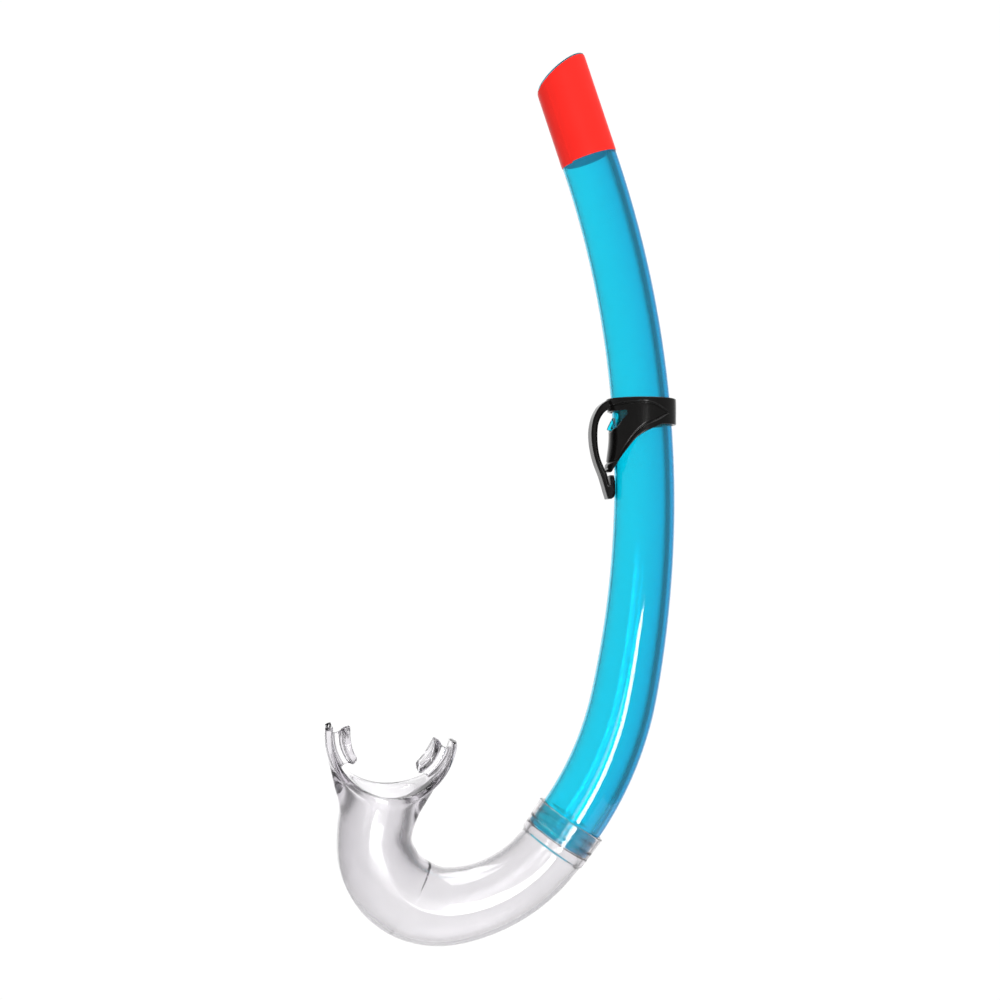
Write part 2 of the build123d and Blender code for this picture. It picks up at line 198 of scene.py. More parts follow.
def walk(runs, heading, distance):
    """Point and heading on a centre line."""
    x, z, turn = 0.0, 0.0, radians(heading)
    if distance < 0:
        x, z, distance = distance * cos(turn), distance * sin(turn), 0.0
    for length, radius in runs:
        step = min(distance, length)
        if radius:
            swept = turn + step / radius
            x += radius * (sin(swept) - sin(turn))
            z -= radius * (cos(swept) - cos(turn))
            turn = swept
        else:
            x += step * cos(turn)
            z += step * sin(turn)
        distance -= step
    return x + distance * cos(turn), z + distance * sin(turn), turn


def smooth_table(table):
    """Smooth curve through (distance, value, ...) rows, with no overshoot. Gives one array per value."""
    xs = np.array([row[0] for row in table], float)
    ys = np.array([row[1:] for row in table], float)
    gap = np.diff(xs)[:, None]
    rise = np.diff(ys, axis=0) / gap
    slope = np.zeros_like(ys)
    same = rise[:-1] * rise[1:] > 0
    mean = 2 * rise[:-1] * rise[1:] / np.where(same, rise[:-1] + rise[1:], 1.0)
    slope[1:-1] = np.where(same, mean, 0.0)
    slope[0], slope[-1] = rise[0], rise[-1]

    def read(distance):
        distance = np.clip(np.asarray(distance, float), xs[0], xs[-1])
        i = np.clip(np.searchsorted(xs, distance, side="right") - 1, 0, len(xs) - 2)
        h = xs[i + 1] - xs[i]
        t = (distance - xs[i]) / h
        out = []
        for k in range(ys.shape[1]):
            a, b = ys[i, k], ys[i + 1, k]
            p, q = slope[i, k] * h, slope[i + 1, k] * h
            out.append(a + t * (p + t * (3 * (b - a) - 2 * p - q + t * (2 * (a - b) + p + q))))
        return out
    return read


barrel_width = smooth_table(BARREL_TAPER)


def barrel_radius(distance):
    return float(barrel_width(distance)[0]) / 2


# ---------------------------------------------------------------- placing pieces in the frame

def matrix_of(right, depth, up, origin):
    m = Matrix.Identity(4)
    for column, vector in enumerate((right, depth, up, origin)):
        for row in range(3):
            m[row][column] = vector[row]
    return m


JOINT_CENTRE = Vector(JOINTS["mouthpiece_swivel"]["pos_m"])
AT_JOINT = Matrix.Translation(JOINT_CENTRE) @ Matrix.Scale(MM, 4)
SWIVEL_AXIS = Vector((cos(radians(BARREL_HEADING)), 0, sin(radians(BARREL_HEADING))))
MOUTH_PLACE = AT_JOINT @ Matrix.Rotation(radians(SWIVEL_SHOWN), 4, SWIVEL_AXIS)


def keeper_place():
    x, z, turn = walk(BARREL_RUNS, BARREL_HEADING, KEEPER_DISTANCE)
    foot = matrix_of((sin(turn), 0, -cos(turn)), (0, 1, 0), (cos(turn), 0, sin(turn)), (x, 0, z))
    turned = Matrix.Rotation(radians(KEEPER_SHOWN), 4, "Z") @ Matrix.Rotation(radians(KEEPER_TILT), 4, "Y")
    return AT_JOINT @ foot @ turned


KEEPER_PLACE = keeper_place()


def make_piece(name, points, faces, place, sharp=SHARP_FROM):
    """Mesh object from points in millimetres, put in the frame by place."""
    mesh = bpy.data.meshes.new(name)
    mesh.from_pydata([tuple(p) for p in np.asarray(points)], [], [tuple(int(i) for i in f) for f in faces])
    mesh.transform(place)
    mesh.update()
    mesh.shade_smooth()
    mesh.set_sharp_from_angle(angle=radians(sharp))
    piece = bpy.data.objects.new(name, mesh)
    bpy.context.scene.collection.objects.link(piece)
    return piece


# ---------------------------------------------------------------- tubes made of rings

def ring_tube(rings):
    """Closed skin through rings of equal length, the last joined to the first."""
    count, size = len(rings), len(rings[0])
    points = np.concatenate(rings)
    index = np.arange(count * size).reshape(count, size)
    below = np.roll(index, -1, axis=0)
    faces = np.stack([index, below, np.roll(below, -1, axis=1), np.roll(index, -1, axis=1)], axis=-1)
    return points, faces.reshape(-1, 4)


def barrel_ring(distance, radius, offset=0.0, segments=RING_POINTS, drop=0.0):
    """Ring square to the barrel, leaning into the bevel as it nears the top."""
    angles = np.linspace(0, 2 * pi, segments, endpoint=False)
    across = offset + radius * np.cos(angles)
    depth = radius * np.sin(angles)
    share = np.clip((distance - (BARREL_LENGTH - drop - BEVEL_REACH)) / BEVEL_REACH, 0, 1)
    lean = share * share * (3 - 2 * share)
    length = distance + lean * (BEVEL * (across * cos(BEVEL_TURN) - depth * sin(BEVEL_TURN)) - BEVEL_DROP)
    x, z, turn = walk(BARREL_RUNS, BARREL_HEADING, distance)
    ahead = length - distance
    points = np.empty((segments, 3))
    points[:, 0] = x + across * sin(turn) + ahead * cos(turn)
    points[:, 1] = depth
    points[:, 2] = z - across * cos(turn) + ahead * sin(turn)
    return points


def spans(start, end, step):
    count = max(2, int(round(abs(end - start) / step)))
    return np.linspace(start, end, count + 1)


def barrel_mesh():
    """Barrel with its spigot and bore, and the first and last rings of the bore."""
    top, foot = BARREL_LENGTH, barrel_radius(0)
    rings = [barrel_ring(d, barrel_radius(d)) for d in spans(top - EDGE_ROUND, CHAMFER, RING_STEP)]
    outline = [(-FOOT_ROUND, foot - FOOT_ROUND), (0.0, foot - EDGE_ROUND)]
    outline += [(0.0, SPIGOT_RADIUS), (2 * CHAMFER, SPIGOT_RADIUS)]
    for start, end, radius in SPIGOT_RINGS:
        shoulder = radius - RING_SHOULDER
        outline += [(start, SPIGOT_RADIUS), (start + RING_FLANK, shoulder), (start + 2 * RING_FLANK, radius)]
        outline += [(end - 2 * RING_FLANK, radius), (end - RING_FLANK, shoulder), (end, SPIGOT_RADIUS)]
    outline.append((SPIGOT_LENGTH, SPIGOT_RADIUS - CHAMFER))
    rings += [barrel_ring(-depth, radius) for depth, radius in outline]
    rings.append(barrel_ring(-SPIGOT_LENGTH, foot - WALL_MEAN + CHAMFER, BORE_OFFSET))
    rings.append(barrel_ring(-SPIGOT_LENGTH + CHAMFER, foot - WALL_MEAN, BORE_OFFSET))
    bore_start = len(rings)
    for distance in spans(-SPIGOT_LENGTH + RING_STEP, top - EDGE_ROUND, RING_STEP):
        rings.append(barrel_ring(distance, barrel_radius(distance) - WALL_MEAN, BORE_OFFSET))
    bore_end = len(rings) - 1
    rings.append(barrel_ring(top, barrel_radius(top) - WALL_MEAN + EDGE_ROUND, BORE_OFFSET))
    rings.append(barrel_ring(top, barrel_radius(top) - EDGE_ROUND))
    return (*ring_tube(rings), bore_start, bore_end)


def band_mesh():
    """Wrapped film: its end laps over its start along one line."""
    angles = np.linspace(0, 360, BAND_POINTS, endpoint=False)
    lap = np.clip(1.0 - ((SEAM_ANGLE - angles) % 360) / LAP_FADE, 0, 1)
    top = BARREL_LENGTH - BAND_DROP
    outer, inner = [], []
    for distance in spans(top, BAND_START, BAND_STEP):
        edge = min(top - distance, distance - BAND_START)
        radius = barrel_radius(distance) - BAND_EDGE_ROUND * max(0.0, 1 - edge / BAND_EDGE)
        single = barrel_ring(distance, radius + BAND_SINGLE, 0.0, BAND_POINTS, BAND_DROP)
        double = barrel_ring(distance, radius + BAND_LAPPED, 0.0, BAND_POINTS, BAND_DROP)
        outer.append(single + (double - single) * lap[:, None])
        inner.append(barrel_ring(distance, barrel_radius(distance) + BAND_GAP, 0.0, BAND_POINTS, BAND_DROP))
    turn = walk(BARREL_RUNS, BARREL_HEADING, BAND_START)[2]
    down = np.array([-cos(turn), 0.0, -sin(turn)])
    step = LAP_STEP * lap[:, None] * down
    outer[-1] = outer[-1] + step
    inner[-1] = inner[-1] + step
    return ring_tube(outer + inner[::-1])


# ---------------------------------------------------------------- moulded pieces from a distance field

def soft_max(a, b, k):
    h = np.clip(0.5 + 0.5 * (a - b) / k, 0, 1)
    return b + (a - b) * h + k * h * (1 - h)


def soft_min(a, b, k):
    return -soft_max(-a, -b, k)


def oval(u, v, a, b, power=2.0):
    """Near enough the distance to an oval: minus inside. A power over 2 squares it off."""
    across, up = np.abs(u / a) + 1e-9, np.abs(v / b) + 1e-9
    near = (across ** power + up ** power) ** (1 / power)
    slope = np.hypot(across ** (power - 1) / a, up ** (power - 1) / b) * near ** (1 - power)
    return (near - 1) / slope


def grid_values(field, low, counts, step):
    """Field on a grid. Points far from the skin, by a coarse grid, keep the coarse value."""
    coarse_counts = [int(np.ceil(c / COARSE_SKIP)) + 1 for c in counts]
    coarse_axes = [low[a] + np.arange(coarse_counts[a]) * step * COARSE_SKIP for a in range(3)]
    mesh = np.stack(np.meshgrid(*coarse_axes, indexing="ij"), axis=-1).reshape(-1, 3)
    coarse = field(mesh).reshape(coarse_counts)
    nearest = [np.round(np.arange(c) / COARSE_SKIP).astype(int) for c in counts]
    values = coarse[np.ix_(*nearest)].copy()
    places = np.argwhere(np.abs(values) < CLOSE_STEPS * step)
    for part in np.array_split(places, max(1, len(places) // BATCH)):
        values[tuple(part.T)] = field(np.asarray(low) + part * step)
    return values


CORNERS = [(i, j, k) for i in (0, 1) for j in (0, 1) for k in (0, 1)]


def net_mesh(field, low, high, step):
    """Quad mesh on the field's zero level: one point in each cell that the skin passes through."""
    step *= STEP_SCALE
    low = np.asarray(low, float)
    counts = [int(np.ceil((h - l) / step)) + 2 for l, h in zip(low, high)]
    values = grid_values(field, low, counts, step)
    inside = values < 0
    filled = sum(inside[i:counts[0] - 1 + i, j:counts[1] - 1 + j, k:counts[2] - 1 + k].astype(np.int8)
                 for i, j, k in CORNERS)
    cells = np.argwhere((filled > 0) & (filled < len(CORNERS)))
    number = -np.ones(filled.shape, int)
    number[tuple(cells.T)] = np.arange(len(cells))
    points = low + cell_points(values, cells) * step
    faces = np.concatenate([cell_faces(inside, number, axis) for axis in range(3)])
    return relax(field, points, faces), faces


def cell_points(values, cells):
    """For each cell, the middle of the places where the skin crosses its edges, in steps of the grid."""
    total, hits = np.zeros((len(cells), 3)), np.zeros(len(cells))
    for a in CORNERS:
        for axis in range(3):
            if a[axis]:
                continue
            b = tuple(1 if n == axis else a[n] for n in range(3))
            first, second = values[tuple((cells + a).T)], values[tuple((cells + b).T)]
            cross = (first < 0) != (second < 0)
            share = np.where(cross, first / np.where(cross, first - second, 1.0), 0.0)
            point = np.array(a, float) + share[:, None] * (np.array(b) - np.array(a))
            total += np.where(cross[:, None], point, 0.0)
            hits += cross
    return cells + total / hits[:, None]


def cell_faces(inside, number, axis):
    """A quad for each grid edge along the axis that the skin crosses, joining the four cells round it."""
    one, two = (axis + 1) % 3, (axis + 2) % 3
    where = np.argwhere(inside != np.roll(inside, -1, axis))
    within = np.all(where < np.array(inside.shape) - 1, axis=1)
    where = where[within & (where[:, one] > 0) & (where[:, two] > 0)]
    corner = []
    for shift_one, shift_two in ((1, 1), (0, 1), (0, 0), (1, 0)):
        cell = where.copy()
        cell[:, one] -= shift_one
        cell[:, two] -= shift_two
        corner.append(number[tuple(cell.T)])
    quad = np.stack(corner, axis=-1)
    outward = inside[tuple(where.T)]
    quad[~outward] = quad[~outward][:, ::-1]
    return quad


def relax(field, points, faces):
    """Moves each point towards its neighbours' middle, then back onto the skin, a few rounds over."""
    size = len(points)
    first = faces.reshape(-1)
    second = np.roll(faces, -1, axis=1).reshape(-1)
    degree = np.bincount(first, minlength=size) + np.bincount(second, minlength=size)
    for _ in range(RELAX_ROUNDS):
        total = np.zeros_like(points)
        for axis in range(3):
            total[:, axis] = np.bincount(first, points[second, axis], size)
            total[:, axis] += np.bincount(second, points[first, axis], size)
        points = settle(field, points + RELAX_SHARE * (total / degree[:, None] - points))
    return settle(field, points)


def settle(field, points):
    """Moves points onto the field's zero level along its slope."""
    value = field(points)
    slope = np.empty_like(points)
    for axis in range(3):
        move = np.zeros(3)
        move[axis] = SLOPE_REACH
        slope[:, axis] = (field(points + move) - field(points - move)) / (2 * SLOPE_REACH)
    steep = np.maximum((slope ** 2).sum(axis=1), LEAST_SLOPE)
    push = np.clip(value / steep, -MOST_PUSH, MOST_PUSH)
    return points - slope * push[:, None]


def run_starts(runs, heading):
    """Start point and heading of each run."""
    out, gone = [], 0.0
    for length, radius in runs:
        out.append((*walk(runs, heading, gone), gone, length, radius))
        gone += length
    return out


MOUTH_STARTS = run_starts(MOUTH_RUNS, MOUTH_HEADING)


def along_mouth(p):
    """Distance along the mouthpiece's centre line, and how far to its right, for each point."""
    best = np.full(len(p), 1e9)
    length_out, right_out = np.zeros(len(p)), np.zeros(len(p))
    last = len(MOUTH_STARTS) - 1
    for i, (x0, z0, turn, gone, length, radius) in enumerate(MOUTH_STARTS):
        dx, dz = p[:, 0] - x0, p[:, 2] - z0
        if radius == 0:
            ahead = dx * cos(turn) + dz * sin(turn)
            right = dx * sin(turn) - dz * cos(turn)
            low = -100.0 if i == 0 else 0.0
            high = length + 100.0 if i == last else length
            held = np.clip(ahead, low, high)
            off = np.hypot(right, ahead - held)
        else:
            cx, cz = -radius * sin(turn), radius * cos(turn)
            wx, wz = dx - cx, dz - cz
            way = np.sign(radius)
            angle = np.arctan2(way * wx, -way * wz) - turn
            angle = (angle + pi) % (2 * pi) - pi
            ahead = angle * radius
            held = np.clip(ahead, 0, length)
            held_turn = turn + held / radius
            qx = wx - radius * np.sin(held_turn)
            qz = wz + radius * np.cos(held_turn)
            right = qx * np.sin(held_turn) - qz * np.cos(held_turn)
            off = np.hypot(qx, qz)
        closer = off < best
        best = np.where(closer, off, best)
        length_out = np.where(closer, gone + held, length_out)
        right_out = np.where(closer, right, right_out)
    return length_out, right_out


bend_size = smooth_table(BEND_SECTIONS)
neck_size = smooth_table(NECK_BORE)
MOUTH_X, MOUTH_Z, MOUTH_TURN = walk(MOUTH_RUNS, MOUTH_HEADING, MOUTH_LENGTH)


def mouth_coordinates(p):
    """Across the mouth, through its depth, and inward between the teeth."""
    dx, dz = p[:, 0] - MOUTH_X, p[:, 2] - MOUTH_Z
    across = dx * sin(MOUTH_TURN) - dz * cos(MOUTH_TURN)
    inward = dx * cos(MOUTH_TURN) + dz * sin(MOUTH_TURN)
    return across, p[:, 1], inward


def smooth_step(x):
    x = np.clip(x, 0, 1)
    return x * x * (3 - 2 * x)


def bite_field(across, depth, inward, arch):
    """Both bite lugs with their dimples, and the bridges that carry them."""
    side = np.abs(across)
    lug = oval(side, inward - ARCH_TOP, LUG_HALF_WIDTH, LUG_DEPTH)
    along = (side - BITE_CENTRE[0]) * cos(BITE_SLOPE) + (inward - BITE_CENTRE[1]) * sin(BITE_SLOPE)
    dimple = DIMPLE_DEPTH * smooth_step(-oval(along - DIMPLE_SHIFT, depth, *DIMPLE_OVAL) / DIMPLE_SLOPE)
    half = BITE_THICKNESS / 2
    pad = soft_max(lug - half, -(lug + half - dimple), PAD_EDGE)
    pad = soft_max(pad, oval(along, depth, *BITE_OVAL), PAD_RIM)
    bridge = soft_max(np.abs(depth) - BRIDGE_HALF_THICKNESS, np.abs(along) - BRIDGE_HALF_LENGTH, BRIDGE_EDGE)
    bridge = soft_max(bridge, arch - BRIDGE_ROOT, CRISP)
    bridge = soft_max(bridge, -lug, CRISP)
    return soft_min(pad, bridge, LUG_FILLET)


def mouth_outline(across, depth, inward):
    """The flange's oval outline from the front, and the same cut off level with the arches' centre."""
    front = oval(across, depth, ARCH_HALF_WIDTH + FLANGE_OVERHANG, FLANGE_HALF_HEIGHT)
    return front, soft_max(front, inward - ARCH_TOP, FLANGE_TIP)


def flange_field(arch, front, outline):
    """Plate along the arch with a thicker rim."""
    rim = FLANGE_RIM * smooth_step(1 + front / RIM_WIDTH)
    plate = soft_max(arch - FLANGE_THICKNESS - rim, -arch - RIM_INNER_SHARE * rim, EDGE)
    return soft_max(plate, outline, FLANGE_EDGE)


def neck_field(length, right, depth, arch):
    """Outside of the bend and the neck, from the sleeve to the arch."""
    width, height = bend_size(length)
    rise = smooth_step((length - SQUARING_START) / SQUARING_RAMP)
    fall = smooth_step((SQUARING_END - length) / SQUARING_FADE)
    outside = oval(right, depth, width / 2, height / 2, 2 + NECK_SQUARING * rise * fall)
    return soft_max(soft_max(outside, -arch, EDGE), SLEEVE_LENGTH - SLEEVE_LAP - length, CRISP)


def sleeve_field(length, radius):
    """Sleeve round the socket."""
    taper = SLEEVE_RADIUS - SLEEVE_TAPER * np.clip(length, 0, SLEEVE_LENGTH) / SLEEVE_LENGTH
    return soft_max(radius - taper, np.maximum(-length, length - SLEEVE_LENGTH), SLEEVE_EDGE)


def mouthpiece_field(p):
    length, right = along_mouth(p)
    across, depth, inward = mouth_coordinates(p)
    near_mouth = (inward > -MOUTH_REACH) & (np.abs(across) < MOUTH_SIDE)
    arch = np.where(near_mouth, oval(across, inward - ARCH_TOP, ARCH_HALF_WIDTH, ARCH_DEPTH), FAR_OFF)
    front, outline = mouth_outline(across, depth, inward)
    neck = neck_field(length, right, depth, arch)
    ease = smooth_step((-TRIM_START - inward) / (TRIM_END - TRIM_START))
    trimmed = soft_max(neck, outline - TRIM_GAP - TRIM_EASE * ease, EDGE)
    neck = np.where(near_mouth & (inward > -TRIM_END), trimmed, neck)
    solid = soft_min(neck, flange_field(arch, front, outline), FLANGE_FILLET)
    with_lugs = soft_min(solid, bite_field(across, depth, inward, arch), LUG_FILLET)
    solid = np.where(near_mouth & (inward > -LUG_REACH), with_lugs, solid)
    radius = np.hypot(right, depth)
    solid = soft_min(solid, sleeve_field(length, radius), SLEEVE_FILLET)
    return soft_max(solid, -bore_field(length, right, depth, radius), MOUTH_EDGE)


def bore_field(length, right, depth, radius):
    """The hollow: socket, first core up to the seam, second core beyond it."""
    width, height = bend_size(length)
    blend = smooth_step((length - SOCKET_DEPTH) / THROAT_LENGTH)
    flash = FLASH_HEIGHT * np.exp(-((length - CORE_SEAM) / FLASH_WIDTH) ** 2)
    half_width = SOCKET_THROAT + blend * (width / 2 - WALL - SOCKET_THROAT) - flash
    half_height = SOCKET_THROAT + blend * (height / 2 - WALL - SOCKET_THROAT) - flash
    first = soft_max(oval(right, depth, half_width, half_height), length - CORE_SEAM, SHARP)
    first = soft_max(first, SOCKET_DEPTH - SOCKET_LAP - length, SHARP)
    neck_width, neck_height = neck_size(length)
    shift = NECK_BORE_SHIFT * np.clip((SHIFT_END - length) / SHIFT_FADE, 0, 1)
    second = oval(right - shift, depth, neck_width / 2, neck_height / 2)
    second = soft_max(second, CORE_SEAM - CRISP - length, SHARP)
    groove_start, groove_radius = SOCKET_GROOVE
    wide = SOCKET_RADIUS + (groove_radius - SOCKET_RADIUS) * smooth_step(length - groove_start)
    socket = soft_max(radius - wide, length - SOCKET_DEPTH, SHARP)
    return np.minimum(np.minimum(first, second), socket)


def line_distance(x, z, points, closed=False):
    """Distance to a chain of points in a plane, minus inside it if it is closed."""
    points = np.asarray(points, float)
    ends = np.roll(points, -1, axis=0) if closed else points[1:]
    starts = points if closed else points[:-1]
    best = np.full(x.shape, 1e9)
    inside = np.zeros(x.shape, bool)
    for (ax, az), (bx, bz) in zip(starts, ends):
        ex, ez = bx - ax, bz - az
        wx, wz = x - ax, z - az
        t = np.clip((wx * ex + wz * ez) / (ex * ex + ez * ez + 1e-12), 0, 1)
        best = np.minimum(best, (wx - t * ex) ** 2 + (wz - t * ez) ** 2)
        if closed and az != bz:
            crosses = (az > z) != (bz > z)
            inside ^= crosses & (x < ax + (z - az) * ex / ez)
    best = np.sqrt(best)
    return np.where(inside, -best, best) if closed else best


def curve_through(points, count=6):
    """Catmull-Rom points through a chain of points."""
    points = [np.array(p, float) for p in points]
    padded = [2 * points[0] - points[1]] + points + [2 * points[-1] - points[-2]]
    out = []
    for a, b, c, d in zip(padded, padded[1:], padded[2:], padded[3:]):
        for t in np.linspace(0, 1, count, endpoint=False):
            out.append(0.5 * (2 * b + (c - a) * t + (2 * a - 5 * b + 4 * c - d) * t * t
                              + (3 * b - 3 * c + d - a) * t ** 3))
    return out + [points[-1]]


# Keeper outlines, side on, millimetres: X away from the mask strap, Z up the barrel.
JAW_EDGE = [(5.6, -5.8), (0.3, -8.0), (-5.1, -11.0), (-8.7, -14.9), (-12.1, -19.5), (-14.7, -24.0),
            (-15.9, -26.4)]
LEAF = [(-22, 7.0), (18, 5.9), (18, -5.7), (10, -5.7)] + curve_through(JAW_EDGE) + [(-22, -24.9)]
WINDOW = [(-20, 0.9), (-9.6, 0.9), (-9.3, 0.4), (-9.3, -1.0), (-11.2, -3.4), (-12.9, -6.2), (-14.1, -6.9),
          (-16.4, -10.6), (-20, -10.6)]
UPPER_GROOVE = curve_through([(-14.5, 3.7), (-8.0, 4.4), (-1.5, 4.2), (3.0, 3.2), (6.8, 1.2), (9.4, -0.6)])
LOWER_GROOVE = curve_through([(9.4, -0.6), (4.5, -3.3), (-1.0, -5.7), (-5.6, -9.2), (-9.7, -14.6),
                              (-13.4, -21.0)])
PANEL = UPPER_GROOVE + LOWER_GROOVE[1:] + [(-18, -23.0), (-18, 4.4)]
ARM_BACK = [(-13.6, 7.0), (-16.9, 5.6), (-20.2, 2.9), (-22.8, -2.0), (-24.0, -8.1), (-23.7, -14.9),
            (-22.3, -21.6), (-19.9, -28.4), (-17.9, -35.8)]
HOOK = [(-17.2, -38.2), (-15.6, -38.2), (-14.5, -37.5), (-13.7, -35.9), (-13.7, -30.4), (-14.3, -27.6),
        (-16.0, -27.6), (-15.6, -31.8), (-16.3, -31.8)]
ARM_FRONT = [(-17.4, -27.0), (-20.1, -20.4), (-21.1, -14.9), (-21.2, -8.8), (-20.5, -4.0), (-18.6, -0.4),
             (-16.2, 1.7), (-13.6, 2.6)]
ARM_OUTLINE = curve_through(ARM_BACK) + HOOK + curve_through(ARM_FRONT)


def keeper_radii(z):
    """Inner and outer radius of the collar, which flares off the barrel down the jaw."""
    flare = smooth_step((JAW_START - z) / JAW_REACH)
    thinned = COLLAR_THINNING * smooth_step((THINNING_START - z) / THINNING_REACH)
    return COLLAR_INNER + JAW_FLARE_INNER * flare, COLLAR_OUTER - thinned + JAW_FLARE_OUTER * flare


def collar_field(p):
    """Collar and jaw with a sunk panel, its groove, the lug's window and the notches."""
    x, depth, z = p[:, 0], p[:, 1], p[:, 2]
    radius = np.hypot(x, depth)
    inner, outer = keeper_radii(z)
    edge = line_distance(x, z, PANEL, closed=True)
    outer = outer - PANEL_SINK * smooth_step(0.5 - edge / PANEL_RAMP)
    outer = outer - PANEL_GROOVE * smooth_step(1 - np.abs(edge + GROOVE_INSET) / GROOVE_HALF_WIDTH)
    body = soft_max(radius - outer, inner - radius, COLLAR_EDGE)
    body = soft_max(body, line_distance(x, z, LEAF, closed=True), LEAF_EDGE)
    body = soft_max(body, -line_distance(x, z, WINDOW, closed=True), WINDOW_EDGE)
    for tooth in TOOTH_PLACES:
        notch = np.hypot(x - TOOTH_LINE, z - tooth) - TOOTH_RADIUS
        body = soft_max(body, -notch, TOOTH_EDGE)
    return body


def arm_field(p):
    """Arm with its hook, sunk on both sides inside a rim."""
    x, depth, z = p[:, 0], p[:, 1], p[:, 2]
    side = line_distance(x, z, ARM_OUTLINE, closed=True)
    body = soft_max(side, np.abs(depth) - ARM_HALF_WIDTH, ARM_EDGE)
    sunk = soft_max(side + ARM_SINK, ARM_RIM - np.abs(depth), ARM_SINK_EDGE)
    return soft_max(body, -sunk, ARM_SINK_EDGE)


def lug_mesh():
    """Small wedge on the barrel that the keeper's window catches on."""
    x, z, turn = walk(BARREL_RUNS, BARREL_HEADING, LUG_PLACE)
    radius = barrel_radius(LUG_PLACE)

    def field(p):
        out, depth, up = p[:, 0], p[:, 1], p[:, 2]
        slope = (out - radius - LUG_HEIGHT) * cos(LUG_SLOPE) + (up - LUG_SLOPE_FOOT) * sin(LUG_SLOPE)
        body = soft_max(np.abs(up - LUG_LENGTH / 2) - LUG_LENGTH / 2, np.abs(depth) - LUG_WIDTH / 2, LUG_EDGE)
        body = soft_max(body, out - radius - LUG_HEIGHT, LUG_EDGE)
        return soft_max(soft_max(body, slope, LUG_EDGE), radius - LUG_ROOT - out, LUG_ROOT_EDGE)

    low, high = (radius - 1, -LUG_WIDTH, -1), (radius + LUG_HEIGHT + 1, LUG_WIDTH, LUG_LENGTH + 1)
    points, faces = net_mesh(field, low, high, SMALL_STEP)
    place = AT_JOINT @ matrix_of((-sin(turn), 0, cos(turn)), (0, -1, 0), (cos(turn), 0, sin(turn)), (x, 0, z))
    return points, faces, place


# ---------------------------------------------------------------- materials

def new_material(name):
    material = bpy.data.materials.new(name)
    material.use_nodes = True
    nodes = material.node_tree.nodes
    return material, nodes, material.node_tree.links, nodes["Principled BSDF"]


def add_noise(nodes, links, scale, detail, stretch=(1, 1, 1)):
    """Noise in the object's own space, in metres."""
    coordinates = nodes.new("ShaderNodeTexCoord")
    mapping = nodes.new("ShaderNodeMapping")
    mapping.inputs["Scale"].default_value = stretch
    noise = nodes.new("ShaderNodeTexNoise")
    noise.inputs["Scale"].default_value = scale
    noise.inputs["Detail"].default_value = detail
    links.new(coordinates.outputs["Object"], mapping.inputs["Vector"])
    links.new(mapping.outputs["Vector"], noise.inputs["Vector"])
    return noise.outputs["Fac"]


def add_range(nodes, links, source, low, high):
    """Spreads a noise from low to high."""
    node = nodes.new("ShaderNodeMapRange")
    node.inputs["From Min"].default_value, node.inputs["From Max"].default_value = NOISE_SPAN
    node.inputs["To Min"].default_value = low
    node.inputs["To Max"].default_value = high
    links.new(source, node.inputs["Value"])
    return node.outputs["Result"]


def add_tint(nodes, links, shader, source, low, high):
    """Base colour between two close colours."""
    mix = nodes.new("ShaderNodeMix")
    mix.data_type = "RGBA"
    mix.inputs["A"].default_value = (*low, 1)
    mix.inputs["B"].default_value = (*high, 1)
    links.new(source, mix.inputs["Factor"])
    links.new(mix.outputs["Result"], shader.inputs["Base Color"])


def add_bump(nodes, links, shader, sources):
    """Chain of bumps, each (source, height in metres)."""
    normal = None
    for source, height in sources:
        bump = nodes.new("ShaderNodeBump")
        bump.inputs["Strength"].default_value = 1.0
        bump.inputs["Distance"].default_value = height
        links.new(source, bump.inputs["Height"])
        if normal:
            links.new(normal, bump.inputs["Normal"])
        normal = bump.outputs["Normal"]
    links.new(normal, shader.inputs["Normal"])


def add_dullness(nodes, links, gloss):
    """Roughness raised by the mesh's own dullness, which is none where the mesh doesn't say."""
    marked = nodes.new("ShaderNodeAttribute")
    marked.attribute_name = "dullness"
    duller = nodes.new("ShaderNodeMath")
    links.new(gloss, duller.inputs[0])
    links.new(marked.outputs["Fac"], duller.inputs[1])
    return duller.outputs["Value"]


def clear_plastic(name, tints, absorb, ior, rough, wave, stretch, milk):
    """Clear moulded plastic: colour by depth, faint flow waves and a little unevenness in its gloss."""
    material, nodes, links, shader = new_material(name)
    shader.inputs["Transmission Weight"].default_value = 1.0 - milk
    shader.inputs["IOR"].default_value = ior
    flow = add_noise(nodes, links, scale=60, detail=2, stretch=stretch)
    fine = add_noise(nodes, links, scale=900, detail=2)
    add_tint(nodes, links, shader, add_range(nodes, links, flow, 0, 1), *tints)
    gloss = add_range(nodes, links, fine, *rough)
    links.new(add_dullness(nodes, links, gloss), shader.inputs["Roughness"])
    add_bump(nodes, links, shader, [(flow, wave), (fine, wave * 0.02)])
    depth = nodes.new("ShaderNodeVolumeAbsorption")
    most = max(absorb)
    depth.inputs["Color"].default_value = (*[1 - a / most for a in absorb], 1)
    depth.inputs["Density"].default_value = most
    links.new(depth.outputs["Volume"], nodes["Material Output"].inputs["Volume"])
    return material


def cyan_material():
    return clear_plastic("cyan_plastic", tints=((0.03, 0.965, 0.98), (0.05, 0.985, 0.995)),
                         absorb=(1100, 122, 50), ior=1.53, rough=(0.015, 0.04), wave=0.00004,
                         stretch=(1, 1, 0.12), milk=0.05)


def clear_material():
    return clear_plastic("clear_soft_plastic", tints=((0.835, 0.828, 0.838), (0.865, 0.858, 0.868)),
                         absorb=(20, 22, 19), ior=1.50, rough=(0.07, 0.12), wave=0.00005,
                         stretch=(1, 1, 1), milk=0.0)


